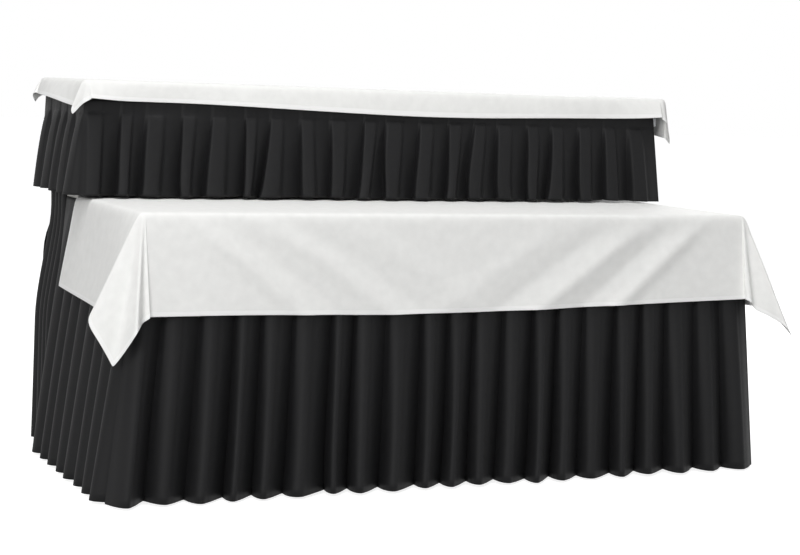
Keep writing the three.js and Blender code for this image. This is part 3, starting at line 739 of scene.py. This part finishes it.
# Soft creases that run across the front drop from its corners: where each starts, metres along for each metre down,
# width, height.
TABLE_CREASES = [
    (0.10, 1.2, 0.034, 9 * MM),
    (0.19, 1.25, 0.032, -5 * MM),
    (0.29, 1.45, 0.042, 8 * MM),
    (0.39, 1.5, 0.04, -4 * MM),
    (0.52, 1.6, 0.055, 4 * MM),
    (1.72, -1.2, 0.034, 9 * MM),
    (1.63, -1.3, 0.032, -5 * MM),
    (1.54, -1.45, 0.045, 8 * MM),
    (1.42, -1.5, 0.04, -4 * MM),
    (1.28, -1.6, 0.055, 3 * MM),
]


def curve(rows, at):
    """A smooth curve through rows of (position, values), read at many positions."""
    rows = np.array(rows, float)
    where, values = rows[:, 0], rows[:, 1:]
    slope = np.gradient(values, where, axis=0)
    i = np.clip(np.searchsorted(where, at) - 1, 0, len(where) - 2)
    step = (where[i + 1] - where[i])[:, None]
    f = np.clip((at - where[i])[:, None] / step, 0, 1)
    start = (1 + 2 * f) * (1 - f) ** 2 * values[i] + f * (1 - f) ** 2 * step * slope[i]
    return start + f**2 * (3 - 2 * f) * values[i + 1] + f**2 * (f - 1) * step * slope[i + 1]


def cloth_lines(low, high, before, after, spacing):
    """Grid lines of a flat cloth, closer together where it turns over an edge."""
    turn = np.array([2.5, 5, 8, 12, 17, 23, 30]) * MM
    inside = np.array([0, 4, 10, 18, 30]) * MM

    def drop(depth):
        if not depth:
            return np.zeros(0)
        hanging = np.linspace(turn[-1], depth, max(2, round((depth - turn[-1]) / spacing) + 1))
        return np.concatenate([turn[:-1], hanging])

    on_top = np.linspace(low + inside[-1], high - inside[-1], round((high - low) / spacing))
    near = inside[:-1]
    return np.concatenate([low - drop(before)[::-1], low + near, on_top, high - near[::-1], high + drop(after)])


def hang_leans(hang, low, x, y, fx, fy, round_corner):
    """How each point of a cloth's edge leans, along the bar and across it, in radians. See TABLE_HANG."""
    lean = np.zeros((len(x), 2))
    for ends, end in ((fx < 0, "left"), (fx > 0, "right")):
        straight = ends & (fy == 0)
        lean[straight] = curve(hang[end], y[straight] - low.y)
        for sides, side in ((fy < 0, "front"), (fy > 0, "back")):
            corner = ends & sides
            if corner.any():
                lean[corner] = curve(hang[f"{side}_{end}"], round_corner[corner])
    for sides, side in ((fy < 0, "front"), (fy > 0, "back")):
        straight = sides & (fx == 0)
        if straight.any():
            lean[straight] = curve(hang[side], x[straight] - low.x)
    return np.radians(lean)


def drape(name, low, high, top, drops, stands, hang, creases, skew, material_name):
    """Lays a cloth on a top with its edges hanging, and gives its flat size.

    drops and stands, how far it stands off below an edge, are left, right, front, back.
    """
    _, linen, _ = settings()
    left, right, front, back = drops
    across = cloth_lines(low.x, high.x, left, right, linen.mesh)
    deep = cloth_lines(low.y, high.y, front, back, linen.mesh)
    s, t = (grid.ravel() for grid in np.meshgrid(across, deep))
    x, y = np.clip(s, low.x, high.x), np.clip(t, low.y, high.y)
    fx, fy = s - x, t - y
    # The cloth lies a little askew, so its front drop varies along it, and its end drops are deeper at the front.
    fy = np.where(fy < 0, fy * curve(hang["front_drop"], (x - low.x) / (high.x - low.x))[:, 0], fy)
    fx = fx * (1 + skew * (0.5 - (y - low.y) / (high.y - low.y)))
    # A corner hangs on the bias, so it stretches a little.
    round_corner = np.degrees(np.arctan2(np.abs(fy), np.abs(fx)))
    fall = np.hypot(fx, fy) * (1 + BIAS_STRETCH * np.sin(np.radians(2 * round_corner)) ** 2)
    lean = hang_leans(hang, low, x, y, fx, fy, round_corner)
    angle = np.maximum(np.hypot(*lean.T), 1e-6)
    away = np.stack([fx, fy], -1) / np.maximum(fall, 1e-9)[:, None]
    end_stand = np.where(fx < 0, stands[0], stands[1])
    side_stand = np.where(fy < 0, stands[2], stands[3])
    stand = (end_stand * away[:, 0] ** 2 + side_stand * away[:, 1] ** 2) * (1 - np.exp(-fall / ROUND_EDGE))
    aside = away * stand[:, None] + lean * (fall * np.sin(angle) / angle)[:, None]
    down = fall * np.cos(angle) - 0.6 * stand
    hanging = smooth_step(fall / STILL)
    for start, run, width, height in creases:
        ridge = np.exp(-(((x - low.x - start - run * fall) / width) ** 2))
        aside[:, 1] -= np.where((fy < 0) & (fx == 0), height * ridge * hanging, 0)
    rng = np.random.default_rng(7)
    for _ in range(RIPPLES):
        wave, turn, phase = rng.uniform(8, 26), rng.uniform(0, math.pi), rng.uniform(0, 2 * math.pi)
        ripple = RIPPLE * np.sin(wave * (s * math.cos(turn) + t * math.sin(turn)) + phase)
        aside += away * (ripple * hanging)[:, None]
    points = np.stack([x + aside[:, 0], y + aside[:, 1], top + LINEN_LIFT - down], -1)
    flat = np.stack([s - (across[0] + across[-1]) / 2, t - (deep[0] + deep[-1]) / 2], -1)
    shape = (len(deep), len(across))
    cut = (across[-1] - across[0], deep[-1] - deep[0])
    piece = sheet_object(name, points.reshape(*shape, 3), flat.reshape(*shape, 2), table_linen(material_name, *cut))
    soften = piece.modifiers.new("soften", "SMOOTH")
    soften.factor, soften.iterations = 0.5, 2
    thicken(piece, LINEN_THICK)
    finer = piece.modifiers.new("finer", "SUBSURF")
    finer.levels = finer.render_levels = 1
    return piece, cut


class BAR_OT_table_cloth(bpy.types.Operator):
    """Drapes the white cloth over the table's top, front and ends"""

    bl_idname = "bar.table_cloth"
    bl_label = "Table cloth"

    def execute(self, context):
        _, linen, _ = settings()
        high = TABLE_HIGH.copy()
        high.y = TABLE_LOW.y + linen.table_depth
        drop = linen.table_drop
        piece, cut = drape(
            "table_linen",
            low=TABLE_LOW,
            high=high,
            top=TABLE_HIGH.z,
            drops=(drop + 20 * MM, drop + 18 * MM, drop, 0),
            stands=(11 * MM, 13 * MM, 14 * MM, 0),
            hang=TABLE_HANG,
            creases=TABLE_CREASES,
            skew=0.03,
            material_name="white_table_linen_woven",
        )
        dress(piece, "table", ["table_cloth"])
        return {"FINISHED"}


class BAR_OT_shelf_cloth(bpy.types.Operator):
    """Drapes the white cloth over the shelf, with a short drop all round"""

    bl_idname = "bar.shelf_cloth"
    bl_label = "Shelf cloth"

    def execute(self, context):
        _, linen, _ = settings()
        drop = linen.shelf_drop
        piece, cut = drape(
            "shelf_linen",
            low=SHELF_LOW,
            high=SHELF_HIGH,
            top=SHELF_HIGH.z,
            drops=(drop + 12 * MM, drop + 58 * MM, drop + 4 * MM, drop),
            stands=(13 * MM, 32 * MM, 14 * MM, 12 * MM),
            hang=SHELF_HANG,
            creases=[],
            skew=0.4,
            material_name="white_shelf_linen_woven",
        )
        dress(piece, "shelf", ["shelf_cloth"])
        return {"FINISHED"}


class BAR_OT_hardware(bpy.types.Operator):
    """Gives the frames, hinges, panels, clips and glides their finishes"""

    bl_idname = "bar.hardware"
    bl_label = "Frames and fittings"

    def execute(self, context):
        finishes = {
            "frame_coat": powder_coat(),
            "hinge_steel": zinc_plate(),
            "aluminium": anodised_aluminium(),
            "laminate": laminate(),
            "clip_plastic": moulded_plastic(),
            "rubber": rubber(),
        }
        for subpart in frame["record"]["subparts"]:
            finish = finishes.get(subpart["material_slot"])
            if finish is None:
                continue
            mesh = frame["nodes"][subpart["node"]].data
            mesh.materials.clear()
            mesh.materials.append(finish)
        return {"FINISHED"}


class BAR_OT_stage(bpy.types.Operator):
    """Sets the floor, the soft light and the camera at the photograph's view"""

    bl_idname = "bar.stage"
    bl_label = "Stage and camera"

    def execute(self, context):
        _, _, stage = settings()
        scene = context.scene
        scene.view_settings.view_transform = "Standard"
        self.floor(stage)
        self.light(scene, stage)
        self.camera(scene)
        return {"FINISHED"}

    def floor(self, stage):
        """A wide level floor that shows white and takes the bar's shadow."""
        mesh = bpy.data.meshes.new("studio_floor")
        corners = [(FLOOR_SIZE * x, FLOOR_SIZE * y, 0) for x, y in ((-1, -1), (1, -1), (1, 1), (-1, 1))]
        mesh.from_pydata(corners, [], [(0, 1, 2, 3)])
        made = bpy.data.objects.new("studio_floor", mesh)
        bpy.context.scene.collection.objects.link(made)
        material, tree, shader = surface("painted_studio_floor", stage.floor, 0.9, Specular_IOR_Level=0.1)
        # Straight to the camera the lit floor is made up to white, and the bar's shadow on it stays.
        seen = self.seen(tree)
        shader.inputs["Emission Color"].default_value = colour("ffffff")
        straight = node(tree, "ShaderNodeLightPath").outputs["Is Camera Ray"]
        far = math_node(tree, "MULTIPLY", straight, FAR_FLOOR_LIFT)
        lift = math_node(tree, "ADD", math_node(tree, "MULTIPLY", seen, FLOOR_LIFT), far)
        tree.links.new(lift, shader.inputs["Emission Strength"])
        mesh.materials.append(material)

    def seen(self, tree):
        """1 for rays that show the background, straight or in a reflection, and 0 for rays that light the bar."""
        path = node(tree, "ShaderNodeLightPath")
        shown = math_node(tree, "MAXIMUM", path.outputs["Is Camera Ray"], path.outputs["Is Glossy Ray"])
        return math_node(tree, "MAXIMUM", shown, path.outputs["Is Transmission Ray"])

    def light(self, scene, stage):
        """Even light from all around, and three large lamps."""
        world = bpy.data.worlds.new("studio")
        scene.world = world
        world.use_nodes = True
        tree = world.node_tree
        tree.nodes.clear()
        lit = node(tree, "ShaderNodeBackground", {"Color": colour("ffffff"), "Strength": stage.sky})
        shown = node(tree, "ShaderNodeBackground", {"Color": colour("ffffff"), "Strength": 1.0})
        mixed = node(tree, "ShaderNodeMixShader", {0: self.seen(tree), 1: lit.outputs[0], 2: shown.outputs[0]})
        node(tree, "ShaderNodeOutputWorld", {"Surface": mixed.outputs[0]})
        for name, power, size, place in (
            ("key", stage.key, (4.0, 3.0), (-0.9, -1.5, 5.8)),
            ("side", stage.side, (3.2, 2.8), (-5.2, -5.8, 2.8)),
            ("back", stage.back, (2.4, 2.0), (3.4, 4.2, 2.2)),
        ):
            lamp = bpy.data.lights.new(name, "AREA")
            lamp.shape, lamp.energy = "RECTANGLE", power
            lamp.size, lamp.size_y = size
            held = bpy.data.objects.new(name, lamp)
            scene.collection.objects.link(held)
            held.matrix_world = looking(place, LAMP_TARGET)

    def camera(self, scene):
        """The view that fits the corners of the table and the shelf in the photograph."""
        yaw, pitch, roll = (math.radians(a) for a in CAMERA_TURN)
        ahead = np.array([math.sin(yaw) * math.cos(pitch), math.cos(yaw) * math.cos(pitch), math.sin(pitch)])
        level = np.array([math.cos(yaw), -math.sin(yaw), 0.0])
        over = np.cross(level, ahead)
        right = math.cos(roll) * level + math.sin(roll) * over
        up = math.cos(roll) * over - math.sin(roll) * level
        data = bpy.data.cameras.new("photo_view")
        data.sensor_width = 36  # mm
        data.lens = CAMERA_FOCAL / IMAGE_WIDTH * data.sensor_width
        data.clip_end = 100
        made = bpy.data.objects.new("photo_view", data)
        scene.collection.objects.link(made)
        turn = Matrix([right, up, -ahead]).transposed().to_4x4()
        place = (CAMERA_PLACE[0], CAMERA_PLACE[1] + TABLE_LOW.y, CAMERA_PLACE[2])
        made.matrix_world = Matrix.Translation(place) @ turn
        scene.camera = made


def looking(place, target):
    """A lamp's matrix at a place, looking at a target."""
    ahead = np.array(target, float) - np.array(place, float)
    ahead /= np.linalg.norm(ahead)
    right = np.cross(ahead, (0, 0, 1))
    right /= np.linalg.norm(right)
    up = np.cross(right, ahead)
    return Matrix.Translation(place) @ Matrix([right, up, -ahead]).transposed().to_4x4()


class BAR_PT_panel(bpy.types.Panel):
    """Lists the bar's operators and their values"""

    bl_label = "Folding portable bar"
    bl_idname = "BAR_PT_panel"
    bl_space_type = "VIEW_3D"
    bl_region_type = "UI"
    bl_category = "Bar"

    def draw(self, context):
        for group in settings():
            box = self.layout.box()
            for key in group.__annotations__:
                box.prop(group, key)
        for operator in OPERATORS:
            self.layout.operator(operator.bl_idname)


OPERATORS = (
    BAR_OT_stage,
    BAR_OT_hardware,
    BAR_OT_table_skirting,
    BAR_OT_shelf_skirting,
    BAR_OT_table_cloth,
    BAR_OT_shelf_cloth,
)
CLASSES = (SkirtingSettings, LinenSettings, StageSettings, *OPERATORS, BAR_PT_panel)


def register():
    for each in CLASSES:
        bpy.utils.register_class(each)
    bpy.types.Scene.bar_skirting = bpy.props.PointerProperty(type=SkirtingSettings)
    bpy.types.Scene.bar_linen = bpy.props.PointerProperty(type=LinenSettings)
    bpy.types.Scene.bar_stage = bpy.props.PointerProperty(type=StageSettings)


def unregister():
    del bpy.types.Scene.bar_skirting
    del bpy.types.Scene.bar_linen
    del bpy.types.Scene.bar_stage
    for each in reversed(CLASSES):
        bpy.utils.unregister_class(each)


def main():
    register()
    bpy.ops.bar.stage()
    bpy.ops.bar.hardware()
    bpy.ops.bar.table_skirting()
    bpy.ops.bar.shelf_skirting()
    bpy.ops.bar.table_cloth()
    bpy.ops.bar.shelf_cloth()


if __name__ == "__main__":
    main()
